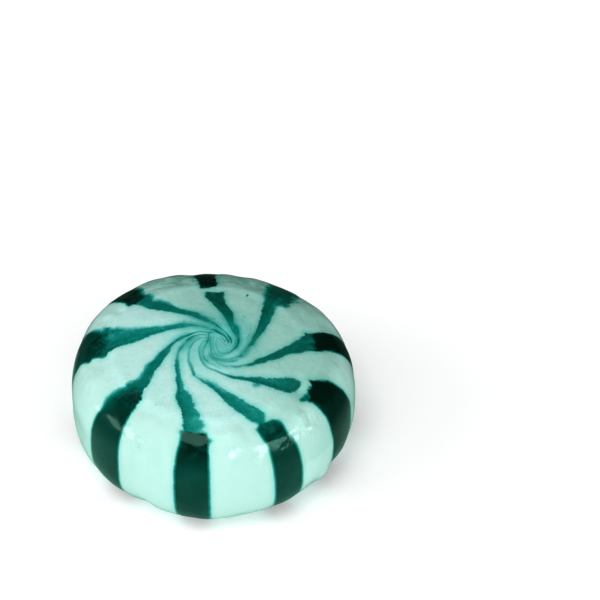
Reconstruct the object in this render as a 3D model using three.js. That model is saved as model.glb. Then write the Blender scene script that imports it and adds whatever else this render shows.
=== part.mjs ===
// Starlight mint: one solid of pulled boiled sugar. The rope it was cut from leaves nine dark stripes down
// the side, and the twist of the cut draws them out into a swirl on both round faces.
// Millimetres and degrees, +Z up. Azimuth 0 is +X and grows anticlockwise seen from above.
import * as THREE from "three";

const { degToRad, radToDeg, lerp, smoothstep, euclideanModulo } = THREE.MathUtils;

// Size of the whole mint
const RADIUS = 12.38;
const THICKNESS = 11.65;
const WAIST_HEIGHT = 5.89;
const BASE_PRESS = 0.05;

// The shoulder between face and side is tight at the front and slumped at the back
const FRONT_SHOULDER = { flatness: 5.23, roundness: 2.94 };
const BACK_SHOULDER = { flatness: 3.36, roundness: 2.48 };

// Slow waves that make the outline uneven: how many go round, how far they push out and where the first crest is
const OUTLINE_WAVES = [
  { count: 2, push: 0.21, crest: -62 },
  { count: 3, push: 0.12, crest: 14 },
  { count: 4, push: 0.06, crest: 23 },
  { count: 5, push: 0.08, crest: -13 },
];

// Middle of the swirl, off the axis, and how far from it the rings settle back on the axis
const EYE = { x: 1.29, y: 0.5, reach: 3.2 };
const EYE_DIMPLE = { depth: 0.12, spread: 0.9 };

// Each stripe: its middle and width down the side, the same where it reaches the rim of the face, and how
// strongly it sweeps round on its way in
const STRIPES = [
  { side: 9, sideWidth: 2.6, face: 6, faceWidth: 2.3, sweep: 23 },
  { side: 55, sideWidth: 2.7, face: 50, faceWidth: 2.1, sweep: 15 },
  { side: 92, sideWidth: 2.7, face: 93, faceWidth: 2.2, sweep: 10 },
  { side: 136, sideWidth: 3.3, face: 136, faceWidth: 2.1, sweep: 10 },
  { side: 175, sideWidth: 4.7, face: 174, faceWidth: 2.6, sweep: 12 },
  { side: 221, sideWidth: 3.5, face: 220, faceWidth: 2.4, sweep: 16 },
  { side: 263, sideWidth: 3.0, face: 262, faceWidth: 1.8, sweep: 21 },
  { side: 303, sideWidth: 2.8, face: 295, faceWidth: 1.4, sweep: 21 },
  { side: 337, sideWidth: 4.0, face: 326, faceWidth: 1.9, sweep: 22 },
];
const MEAN_SWEEP = STRIPES.reduce((sum, stripe) => sum + stripe.sweep, 0) / STRIPES.length;
const SWEEP_POWER = 1.3; // the spiral tightens towards the eye
const TAPER_POWER = 1.4; // and the stripes thin out
const SWIRL_START = 1.6; // inside this distance from the eye the spiral turns no further
const OWN_SWEEP_END = 3; // and inside this one all stripes turn alike

// Distances from the eye, along the surface, where the face ends and the side begins
const FACE_END = 9.0;
const SIDE_START = 10.8;

// Relief, outwards positive: pillows between the stripe edges, the lip round the face and the lumpy rim
const PANEL_PILLOW = 0.1;
const STRIPE_PILLOW = 0.05;
const FACE_SHARE = 0.35;
const LIP = { front: 9.1, back: 7.5, spread: 0.55, height: 0.09 };
const RIM_LUMPS = [
  { count: 13, push: 0.035, crest: 5 },
  { count: 19, push: 0.03, crest: 11 },
  { count: 31, push: 0.02, crest: 2 },
];
const RIM_LUMP_SPREAD = 1.3;

// Single dents and bumps of this mint, by azimuth and distance from the upper eye
const MARKS = [
  { azimuth: 323, along: 9.3, spread: 0.75, push: -0.2 }, // chip where a stripe tore at the rim
  { azimuth: 112, along: 9.7, spread: 0.6, push: 0.22 }, // flake on the far rim
  { azimuth: 282, along: 10.6, spread: 0.9, push: 0.12 }, // blister on the front rim
  { azimuth: 202, along: 17.0, spread: 2.0, push: -0.18 }, // flattened place on the left
  { azimuth: 240, along: 20.2, spread: 1.1, push: -0.3 }, // notch low on the front left
  { azimuth: 283, along: 20.2, spread: 2.2, push: -0.22 }, // flattened place low on the front
  { azimuth: 269, along: 20.4, spread: 1.2, push: 0.14 }, // the foot of a stripe stands out beside it
  { azimuth: 317, along: 19.8, spread: 1.0, push: -0.14 }, // shallow hollow in the panel
  { azimuth: 325, along: 19.7, spread: 1.0, push: 0.2 }, // swelling beside it
  { azimuth: 332, along: 19.5, spread: 0.8, push: -0.32 }, // notch at the edge of the torn stripe
];

// Fineness of the mesh
const RINGS = 42;
const STRIPE_COLUMNS = 4;
const PANEL_COLUMNS = 8;

// Profile at the front, from the middle of the face over the side to the middle of the base:
// x is the distance from the axis and y the height
class Profile extends THREE.Curve {
  getPoint(t, target = new THREE.Vector2()) {
    const angle = Math.PI * (0.5 - t);
    const rise = Math.abs(Math.sin(angle)) ** (2 / FRONT_SHOULDER.roundness);
    const height = t < 0.5 ? WAIST_HEIGHT + (THICKNESS - WAIST_HEIGHT) * rise : WAIST_HEIGHT * (1 - rise);
    return target.set(RADIUS * Math.cos(angle) ** (2 / FRONT_SHOULDER.flatness), height);
  }
}

// Sum of cosine waves round the mint
function waves(list, azimuth) {
  return list.reduce((sum, w) => sum + w.push * Math.cos(w.count * degToRad(azimuth - w.crest)), 0);
}

// A smooth hump, 1 in its middle and nearly 0 at twice its spread
function hump(distance, spread) {
  return Math.exp(-((distance / spread) ** 2));
}

// 0 at the front of the mint and 1 at the back
function backness(azimuth) {
  return (1 + Math.sin(degToRad(azimuth))) / 2;
}

// How far a stripe has turned, in degrees, at a distance from the eye
function turnedBy(stripe, travel) {
  const turn = (distance) => (FACE_END / Math.min(Math.max(distance, SWIRL_START), FACE_END)) ** SWEEP_POWER - 1;
  return MEAN_SWEEP * turn(travel) + (stripe.sweep - MEAN_SWEEP) * turn(Math.max(travel, OWN_SWEEP_END));
}

// Azimuths of both edges of a stripe on a ring
function stripeEdges(stripe, ring) {
  const onSide = smoothstep(ring.travel, FACE_END, SIDE_START);
  const taper = (Math.min(ring.travel, FACE_END) / FACE_END) ** TAPER_POWER;
  const middle = lerp(stripe.face - turnedBy(stripe, ring.travel), stripe.side, onSide);
  const width = lerp(stripe.faceWidth * taper, stripe.sideWidth, onSide);
  const half = radToDeg(width / 2 / Math.max(ring.share * RADIUS, 0.1));
  return [middle - half, middle + half];
}

// The columns of one ring: azimuth, whether it lies on a stripe, and how far across that stripe or panel
function columnsOf(ring) {
  const edges = STRIPES.map((stripe) => stripeEdges(stripe, ring));
  const columns = [];
  edges.forEach(([start, end], i) => {
    const next = i + 1 < edges.length ? edges[i + 1][0] : edges[0][0] + 360;
    for (let k = 0; k < STRIPE_COLUMNS; k++) {
      const across = k / STRIPE_COLUMNS;
      columns.push({ azimuth: lerp(start, end, across), across, dark: true });
    }
    for (let k = 0; k < PANEL_COLUMNS; k++) {
      const across = k / PANEL_COLUMNS;
      columns.push({ azimuth: lerp(end, next, across), across, dark: false });
    }
  });
  return columns;
}

// Height of the finished relief over the plain shape, along the surface normal
function reliefAt(ring, column) {
  const onSide = smoothstep(ring.travel, FACE_END, SIDE_START);
  const swell = 4 * column.across * (1 - column.across) * (column.dark ? STRIPE_PILLOW : PANEL_PILLOW);
  const onFace = FACE_SHARE * smoothstep(ring.travel, 2, 6);
  let relief = swell * lerp(onFace, 1, onSide);
  const lip = lerp(LIP.front, LIP.back, backness(column.azimuth));
  relief += LIP.height * hump(ring.travel - lip, LIP.spread);
  relief += waves(RIM_LUMPS, column.azimuth) * hump(ring.travel - SIDE_START, RIM_LUMP_SPREAD);
  relief -= EYE_DIMPLE.depth * hump(ring.travel, EYE_DIMPLE.spread);
  for (const mark of MARKS) {
    const turn = euclideanModulo(column.azimuth - mark.azimuth + 180, 360) - 180;
    const sideways = degToRad(turn) * ring.share * RADIUS;
    relief += mark.push * hump(Math.hypot(sideways, ring.along - mark.along), mark.spread);
  }
  // the flat that the mint rests on has none
  return ring.upper ? relief : relief * smoothstep(ring.travel, 7, 9);
}

// A point of the surface
function pointAt(ring, column) {
  const turn = degToRad(column.azimuth);
  const back = ring.upper ? backness(column.azimuth) : 0;
  const flatness = lerp(FRONT_SHOULDER.flatness, BACK_SHOULDER.flatness, back);
  const roundness = lerp(FRONT_SHOULDER.roundness, BACK_SHOULDER.roundness, back);
  const rise = Math.max(0, 1 - ring.share ** flatness) ** (1 / roundness);
  const relief = reliefAt(ring, column);
  const upperHeight = WAIST_HEIGHT + (THICKNESS - WAIST_HEIGHT) * rise;
  const lowerHeight = Math.max(BASE_PRESS, WAIST_HEIGHT * (1 - rise));
  const radius = (RADIUS + waves(OUTLINE_WAVES, column.azimuth)) * ring.share + relief * ring.normal.x;
  const pull = hump(ring.share * RADIUS, EYE.reach);
  return new THREE.Vector3(
    EYE.x * pull + radius * Math.cos(turn),
    EYE.y * pull + radius * Math.sin(turn),
    (ring.upper ? upperHeight : lowerHeight) + relief * ring.normal.y,
  );
}

// Rings of equal spacing along the profile, without the two poles
function profileRings() {
  const profile = new Profile();
  profile.arcLengthDivisions = 4000;
  const length = profile.getLength();
  const rings = [];
  for (let k = 1; k < RINGS; k++) {
    const point = profile.getPointAt(k / RINGS);
    const tangent = profile.getTangentAt(k / RINGS);
    const along = (length * k) / RINGS;
    const upper = point.y > WAIST_HEIGHT;
    rings.push({
      share: point.x / RADIUS,
      upper,
      along,
      travel: upper ? along : length - along,
      normal: new THREE.Vector2(-tangent.y, tangent.x),
    });
  }
  return rings;
}

// The closed surface: a fan round each eye and bands of triangles between the rings
function mintGeometry() {
  const rings = profileRings();
  const count = STRIPES.length * (STRIPE_COLUMNS + PANEL_COLUMNS);
  const points = [new THREE.Vector3(EYE.x, EYE.y, THICKNESS - EYE_DIMPLE.depth)];
  for (const ring of rings) points.push(...columnsOf(ring).map((column) => pointAt(ring, column)));
  points.push(new THREE.Vector3(EYE.x, EYE.y, BASE_PRESS));
  const last = points.length - 1;
  const faces = [];
  const at = (ring, column) => 1 + ring * count + (column % count);
  for (let c = 0; c < count; c++) {
    faces.push(0, at(0, c), at(0, c + 1));
    for (let r = 0; r < rings.length - 1; r++) {
      faces.push(at(r, c), at(r + 1, c), at(r + 1, c + 1));
      faces.push(at(r, c), at(r + 1, c + 1), at(r, c + 1));
    }
    faces.push(last, at(rings.length - 1, c + 1), at(rings.length - 1, c));
  }
  const geometry = new THREE.BufferGeometry().setFromPoints(points).setIndex(faces);
  geometry.computeBoundingBox();
  const { min, max } = geometry.boundingBox;
  geometry.translate(-(min.x + max.x) / 2, -(min.y + max.y) / 2, -min.z);
  geometry.computeVertexNormals();
  return geometry;
}

// Boiled sugar, pale mint green over most of its surface
const candy = new THREE.MeshStandardMaterial({ color: "#b9e6de", roughness: 0.3, metalness: 0 });

const mint = new THREE.Mesh(mintGeometry(), candy);
mint.name = "mint";

const starlightMint = new THREE.Group();
starlightMint.add(mint);

export default starlightMint;
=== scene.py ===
# %% [markdown]
# # A starlight mint
# A starlight mint starts as a thick rope of pulled white sugar with dark stripes of coloured sugar along
# its outside. The rope is rolled thin, and each sweet is pinched off it while it is still soft. The pinch
# drags the stripes inwards over both ends of the piece, and the twist of the rope turns them into a swirl.
# This lesson builds one such sweet in four steps: its shape, its stripes, its finish, and the picture of
# it. The CAD model is loaded first. It holds the true size, and everything below is fitted to it.

# %% Load the frame
import math

import bpy
import numpy as np
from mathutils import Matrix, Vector, noise


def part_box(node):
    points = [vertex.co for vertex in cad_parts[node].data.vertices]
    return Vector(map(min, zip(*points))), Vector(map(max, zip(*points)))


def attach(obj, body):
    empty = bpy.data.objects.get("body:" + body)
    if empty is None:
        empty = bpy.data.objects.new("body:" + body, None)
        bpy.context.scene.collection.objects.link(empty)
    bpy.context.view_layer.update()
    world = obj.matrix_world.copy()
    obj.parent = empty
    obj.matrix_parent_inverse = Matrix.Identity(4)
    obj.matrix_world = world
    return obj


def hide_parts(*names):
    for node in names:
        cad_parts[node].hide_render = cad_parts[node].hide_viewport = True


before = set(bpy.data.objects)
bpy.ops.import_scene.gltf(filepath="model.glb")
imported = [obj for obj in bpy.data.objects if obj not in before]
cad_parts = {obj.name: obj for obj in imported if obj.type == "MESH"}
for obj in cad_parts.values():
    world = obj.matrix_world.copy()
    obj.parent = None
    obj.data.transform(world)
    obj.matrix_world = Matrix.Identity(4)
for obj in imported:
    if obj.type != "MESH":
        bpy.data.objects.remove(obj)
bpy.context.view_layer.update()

MM = 0.001  # Blender works in metres, and this script thinks in millimetres
print("nodes in the frame:", list(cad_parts))

# %% [markdown]
# ## The shape
# The real sweet is a flattened ball: two nearly flat faces, a full round side, and a shoulder between them
# that is tight at the front and slumped at the back. It could be sculpted by hand from a sphere, but then
# its size would be a guess. Here it is a turned shape, like clay on a wheel, so that a handful of named
# sizes give the same form as the CAD model.

# %% Sizes of the sweet, in mm
RADIUS = 12.38
THICKNESS = 11.65
WAIST_HEIGHT = 5.89  # where the sweet is widest
BASE_PRESS = 0.05  # the underside is flat up to this height
FRONT_SHOULDER = (5.23, 2.94)  # how flat the face is, and how round the side is
BACK_SHOULDER = (3.36, 2.48)
OUTLINE_WAVES = ((2, 0.21, -62), (3, 0.12, 14), (4, 0.06, 23), (5, 0.08, -13))  # count, push, crest
EYE_X, EYE_Y, EYE_REACH = 1.29, 0.5, 3.2  # the middle of the swirl, its eye, lies off the axis
EYE_DIP, EYE_DIP_SPREAD = 0.12, 0.9  # and is a little hollow


def smooth(value, start, end):
    """0 before start, 1 after end, and a soft step between them."""
    t = np.clip((value - start) / (end - start), 0, 1)
    return t * t * (3 - 2 * t)


def hump(distance, spread):
    """1 in its middle and nearly 0 at twice its spread."""
    return np.exp(-((distance / spread) ** 2))


def waves(parts, azimuth):
    """Sum of cosine waves round the sweet."""
    return sum(push * np.cos(np.radians(count * (azimuth - crest))) for count, push, crest in parts)


# %% [markdown]
# Every place on the sweet gets two numbers: its azimuth, which is the direction seen from above, and its
# walk, which is how far an ant would go over the skin from the upper eye. Its travel is the walk from the
# nearer eye, the upper or the lower one. Stripes are easy to describe in these numbers, because they all
# start at an eye and run outwards.

# %% From the walk to a point of the profile
PROFILE_STEPS, RIM_SHARE = 1500, 0.94  # beyond this share of the radius the profile has finer steps


def quarter(height):
    """One quarter of the profile: share of the radius, the walk to it from the axis, and its two slopes."""
    flat, round_side = FRONT_SHOULDER
    near_rim = 1 - (1 - RIM_SHARE) * np.linspace(1, 0, PROFILE_STEPS)[1:] ** 3
    share = np.concatenate([np.linspace(0, RIM_SHARE, PROFILE_STEPS), near_rim])
    rise = (1 - share**flat) ** (1 / round_side)
    radius, level = RADIUS * share, height * rise
    walk = np.concatenate([[0], np.cumsum(np.hypot(np.diff(radius), np.diff(level)))])
    return share, walk, np.gradient(radius, walk), np.gradient(level, walk)


UPPER = quarter(THICKNESS - WAIST_HEIGHT)
LOWER = quarter(WAIST_HEIGHT)
WAIST = UPPER[1][-1]  # walk from the upper eye to the waist
WHOLE = WAIST + LOWER[1][-1]  # walk from the upper eye to the lower one


def profile(along):
    """Share of the radius, outward normal and travel, for a walk from the upper eye."""
    above = along <= WAIST
    travel = np.where(above, along, WHOLE - along)
    share, run, drop = (
        np.where(above, np.interp(travel, UPPER[1], UPPER[i]), np.interp(travel, LOWER[1], LOWER[i]))
        for i in (0, 2, 3))
    return share, -drop, np.where(above, run, -run), travel


def surface(along, azimuth, relief):
    """Points of the sweet in mm. Relief is how far each one is pushed out."""
    share, normal_out, normal_up, _ = profile(along)
    upper = along <= WAIST
    back = np.where(upper, (1 + np.sin(np.radians(azimuth))) / 2, 0)
    flat, round_side = (near + (far - near) * back for near, far in zip(FRONT_SHOULDER, BACK_SHOULDER))
    rise = np.clip(1 - share**flat, 0, 1) ** (1 / round_side)
    level = np.where(upper, WAIST_HEIGHT + (THICKNESS - WAIST_HEIGHT) * rise,
                     np.maximum(BASE_PRESS, WAIST_HEIGHT * (1 - rise)))
    radius = (RADIUS + waves(OUTLINE_WAVES, azimuth)) * share + relief * normal_out
    pull = hump(share * RADIUS, EYE_REACH)
    turn = np.radians(azimuth)
    return np.stack([EYE_X * pull + radius * np.cos(turn), EYE_Y * pull + radius * np.sin(turn),
                     level + relief * normal_up], axis=-1)


print("walk to the waist %.2f mm, to the lower eye %.2f mm" % (WAIST, WHOLE))

# %% [markdown]
# ## The grid
# The skin is a net of rings and spokes round the eye. Its rings lie closest where the pattern is finest,
# in the middle of the face, and widest underneath, so that no triangle is spent where nothing shows.

# %% Rings and spokes
SPOKES = 540
RING_STEPS = ((3.2, 0.045), (6.0, 0.12), (12.6, 0.17), (19.0, 0.4), (22.6, 0.3), (WHOLE, 0.5))  # end, step

ring_walk = [0.0]
for end, step in RING_STEPS:
    count = round((end - ring_walk[-1]) / step)
    ring_walk += list(np.linspace(ring_walk[-1], end, count + 1)[1:])
ring_walk = np.array(ring_walk[1:-1])
spoke_azimuth = np.arange(SPOKES) * 360 / SPOKES
ALONG, AZIMUTH = np.meshgrid(ring_walk, spoke_azimuth, indexing="ij")
SHARE, _, _, TRAVEL = profile(ALONG)
UP_SIDE = ALONG <= WAIST
RING_RADIUS = np.maximum(SHARE * RADIUS, 0.05)
plain = surface(ALONG, AZIMUTH, np.zeros(ALONG.shape))
print(len(ring_walk), "rings,", 2 * SPOKES * len(ring_walk), "triangles")

# %% [markdown]
# ## The stripes on the face
# On the real sweet each stripe is a skin of teal sugar that was dragged towards the middle: broad and torn
# at the rim, thin as a thread near the eye. It could be painted as a picture, but a picture blurs when one
# looks closely. So each stripe is a shape with two edges, and an edge is a smooth line through a few
# places. For every point of the net the script then measures how deep inside or far outside the nearest
# shape it lies, in millimetres. A material can make a sharp, ragged or soft edge from such a distance. The
# places were read off enlargements of a photograph. So the camera comes first: through it, a mark
# on an enlargement is traced back to a place on the sweet.

# %% The picture's camera
CAMERA_TILT = 42  # degrees down from level
CAMERA_AWAY = 350  # mm
CAMERA_AIM = (7.52, 18.295, 0)
LENS, SENSOR = 229.3, 36  # mm
PICTURE = 600  # pixels

tilt = math.radians(CAMERA_TILT)
sight = np.array([0, math.cos(tilt), -math.sin(tilt)])  # the way the camera looks
picture_right, picture_up = np.array([1, 0, 0]), np.array([0, math.sin(tilt), math.cos(tilt)])
camera_spot = np.array(CAMERA_AIM) - CAMERA_AWAY * sight
PIXELS = LENS / SENSOR * PICTURE  # pixels per mm of the sweet, times the distance in mm
box_middle = (plain.min((0, 1)) + plain.max((0, 1))) / 2
box_middle[2] = BASE_PRESS


def pictured(along, azimuth):
    """Where a place on the smooth sweet shows in the picture, in pixels from its upper left corner."""
    offset = surface(along, azimuth, np.zeros(np.shape(along))) - box_middle - camera_spot
    scale = PIXELS / (offset @ sight)
    right, up = scale * (offset @ picture_right), scale * (offset @ picture_up)
    return np.array([PICTURE / 2 + right, PICTURE / 2 - up])


print("the eye shows at pixel", pictured(np.array([0.0]), np.array([0.0])).ravel().round(1))

# %% From a pixel back to its place on the sweet
SLOPE_STEP = 0.001  # mm or degrees
START_EVERY = 7  # a search may start at every seventh point of the net
ROUNDS = 8
WALK_LIMITS, TURN_LIMIT = (0.05, WAIST + 4), 20  # mm, and degrees in one round
MISS_ALLOWED = 0.05  # pixels


def cross(first, second):
    """The area that two directions in the picture span."""
    return first[0] * second[1] - first[1] * second[0]


def slopes(along, azimuth):
    """The place's pixels, and how fast they move with the walk and with the azimuth."""
    here = pictured(along, azimuth)
    by_walk, by_turn = pictured(along + SLOPE_STEP, azimuth), pictured(along, azimuth + SLOPE_STEP)
    return here, (by_walk - here) / SLOPE_STEP, (by_turn - here) / SLOPE_STEP


start_along, start_azimuth = (values[UP_SIDE][::START_EVERY] for values in (ALONG, AZIMUTH))
start_pixels, by_walk, by_turn = slopes(start_along, start_azimuth)
in_sight = cross(by_walk, by_turn) < 0
start_along, start_azimuth, start_pixels = (
    values[..., in_sight] for values in (start_along, start_azimuth, start_pixels))


def located(pixels):
    """Walk and azimuth of the places at these pixels, by Newton's method from the nearest net point."""
    pixels = np.array(pixels, float).T
    closest = np.hypot(*(start_pixels[:, None, :] - pixels[:, :, None])).argmin(1)
    along, azimuth = start_along[closest], start_azimuth[closest]
    for _ in range(ROUNDS):
        here, by_walk, by_turn = slopes(along, azimuth)
        miss, area = pixels - here, cross(by_walk, by_turn)
        along = np.clip(along + cross(miss, by_turn) / area, *WALK_LIMITS)
        azimuth = azimuth + np.clip(cross(by_walk, miss) / area, -TURN_LIMIT, TURN_LIMIT)
    worst = np.hypot(*(pixels - pictured(along, azimuth))).max()
    assert worst < MISS_ALLOWED, worst
    return along, azimuth


print(start_along.size, "points of the net to start from")

# %% Places read off enlargements of the photograph
VIEWS = {  # the enlargement's corner in the photograph's pixels, and marks of the enlargement per pixel
    "eye": (190, 312, 22.727), "inner left": (145, 318, 1500 / 90), "inner right": (200, 335, 1500 / 90),
    "front": (168, 396, 1500 / 94), "right": (250, 380, 14), "left": (85, 375, 1400 / 95),
    "far left": (68, 300, 1500 / 110), "back left": (110, 268, 1500 / 105), "back": (190, 268, 12),
    "far right": (230, 330, 1500 / 115),
}
# Each edge of a teal skin, from the eye outwards. "Hidden" places are guessed, as walk and azimuth
SKINS = {
    1: ((("eye", (1080, 790), (1115, 720), (1128, 640), (1125, 560), (1120, 500), (1115, 420), (1108, 350),
          (1060, 300), (1000, 250), (985, 190), (985, 100), (975, 0)),
         ("back", (470, 480), (430, 420), (405, 350), (400, 290))),
        (("eye", (1050, 780), (1060, 740), (1078, 680), (1080, 610), (1050, 550), (1010, 490), (960, 420),
          (930, 370), (890, 290), (860, 230), (830, 170), (770, 90), (700, 0)),
         ("back", (290, 450), (235, 385), (190, 345), (195, 290)))),
    2: ((("eye", (1190, 990), (1230, 960), (1280, 910), (1320, 860), (1370, 790), (1430, 750), (1470, 700),
          (1500, 640)),
         ("back", (870, 780), (930, 680), (990, 590), (1030, 480), (1100, 455), (1160, 490), (1190, 440),
          (1240, 390), (1290, 350))),
        (("eye", (1180, 940), (1220, 900), (1270, 830), (1310, 770), (1350, 710), (1400, 640), (1430, 560),
          (1470, 500), (1500, 440)),
         ("back", (830, 650), (860, 540), (885, 440), (900, 360), (905, 300), (930, 240)))),
    3: ((("eye", (1340, 1215), (1400, 1212), (1440, 1202), (1500, 1192)),
         ("inner right", (1060, 460), (1150, 430), (1250, 415), (1400, 355), (1500, 320)),
         ("far right", (960, 290), (1040, 275), (1095, 280)),
         ("hidden", (9.6, -3), (10.5, 0))),
        (("eye", (1330, 1178), (1380, 1165), (1450, 1130), (1500, 1090)),
         ("inner right", (1060, 365), (1150, 330), (1250, 280), (1330, 240), (1450, 180)),
         ("far right", (800, 175), (880, 130), (940, 100), (975, 75), (960, 45), (1075, 45)),
         ("hidden", (10.5, 13)))),
    4: ((("far right", (0, 605)),
         ("inner right", (600, 725), (700, 745), (800, 765), (960, 800), (1060, 830), (1150, 865),
          (1230, 880), (1370, 945), (1500, 975)),
         ("far right", (820, 800), (860, 760), (910, 720))),
        (("far right", (0, 590)),
         ("inner right", (600, 680), (700, 690), (800, 700), (940, 695), (1060, 710), (1180, 720),
          (1320, 725)),
         ("far right", (700, 635), (740, 630), (790, 635), (850, 655), (915, 680)))),
    5: ((("inner left", (815, 948), (860, 990)),
         ("inner right", (60, 800), (200, 890), (330, 1000)),
         ("front", (900, 80), (960, 120), (1040, 190), (1120, 260), (1200, 320), (1270, 370), (1330, 400),
          (1400, 420), (1450, 470), (1420, 540), (1460, 600)),
         ("right", (150, 780), (200, 850), (250, 920))),
        (("inner left", (820, 940), (850, 960), (950, 1000)),
         ("inner right", (180, 770), (260, 800), (400, 900), (560, 990), (640, 1045), (740, 1100),
          (830, 1160), (900, 1190)),
         ("right", (150, 430), (215, 490), (215, 570), (260, 570), (310, 550), (370, 565), (430, 590),
          (480, 650), (500, 700), (545, 760)))),
    6: ((("eye", (0, 610)),
         ("inner left", (650, 430), (555, 540), (530, 620), (515, 700), (505, 800), (505, 880), (520, 960),
          (520, 1050), (535, 1150), (535, 1240)),
         ("front", (130, 5), (145, 60), (190, 160), (220, 240), (240, 330), (255, 400), (250, 480),
          (245, 545), (205, 570), (215, 605), (200, 680), (190, 760))),
        (("eye", (0, 575)),
         ("inner left", (680, 440), (575, 570), (560, 700), (575, 800), (590, 880), (600, 960),
          (620, 1040), (645, 1120), (650, 1180), (740, 1270)),
         ("front", (375, 5), (430, 150), (445, 220), (512, 290), (490, 340), (455, 350), (540, 400),
          (575, 440), (580, 465), (540, 545), (600, 570), (630, 620), (640, 680), (695, 708), (650, 745),
          (640, 850)))),
    7: ((("inner left", (700, 265), (600, 305), (520, 350), (400, 450), (300, 530), (200, 620), (130, 710),
          (50, 770), (0, 870)),
         ("left", (810, 30), (740, 90), (630, 150), (620, 200), (590, 190), (540, 200), (460, 250),
          (350, 320), (300, 390), (270, 460), (230, 520))),
        (("inner left", (700, 300), (600, 360), (520, 400), (450, 470), (400, 570), (320, 660), (240, 790),
          (160, 870), (130, 950), (60, 1080)),
         ("left", (900, 170), (850, 240), (835, 330), (800, 400)))),
    8: ((("eye", (540, 385), (420, 340), (340, 315), (250, 300), (160, 280), (80, 270), (0, 260)),
         ("inner left", (600, 80), (430, 110), (300, 130), (150, 145), (0, 160)),
         ("far left", (950, 385), (850, 400), (600, 395), (500, 390), (490, 425), (400, 425), (330, 435))),
        (("eye", (530, 405), (420, 375), (340, 350), (250, 330), (160, 320), (80, 320), (0, 325)),
         ("inner left", (650, 160), (430, 190), (300, 225), (200, 260), (100, 285)),
         ("far left", (1040, 530), (950, 560), (850, 595), (700, 640), (630, 670), (560, 710), (490, 790),
          (420, 780), (330, 800), (290, 850), (180, 880)))),
    9: ((("eye", (600, 280), (500, 215), (370, 130), (300, 95), (235, 65), (200, 20), (100, -10),
          (0, -30)),
         ("back left", (1100, 605), (1000, 580), (900, 540), (800, 490), (720, 465), (620, 465),
          (600, 390), (550, 380), (500, 390), (470, 360), (450, 330), (420, 300))),
        (("eye", (590, 300), (550, 280), (480, 245), (400, 225), (330, 205), (240, 170), (160, 140),
          (0, 75)),
         ("back left", (1050, 660), (950, 640), (850, 625), (750, 610), (650, 590), (560, 575), (450, 545),
          (330, 520), (290, 545), (250, 525), (200, 500)))),
}
# Where the pinch tore a dark band off its skin, the band has an outline of its own
TORN_BANDS = {
    1: ((("back", (270, 235), (330, 215), (320, 150), (315, 85)),),
        (("back", (205, 243), (140, 248), (110, 220), (105, 170), (60, 130), (45, 90)),)),
    4: ((("right", (700, 290), (830, 290), (960, 380), (1040, 480)),),
        (("far right", (940, 870), (1000, 820), (1030, 770), (1060, 720), (1050, 680), (1030, 650),
          (1080, 665), (1190, 665)),
         ("hidden", (11, 340), (12, 342)))),
}
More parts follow.
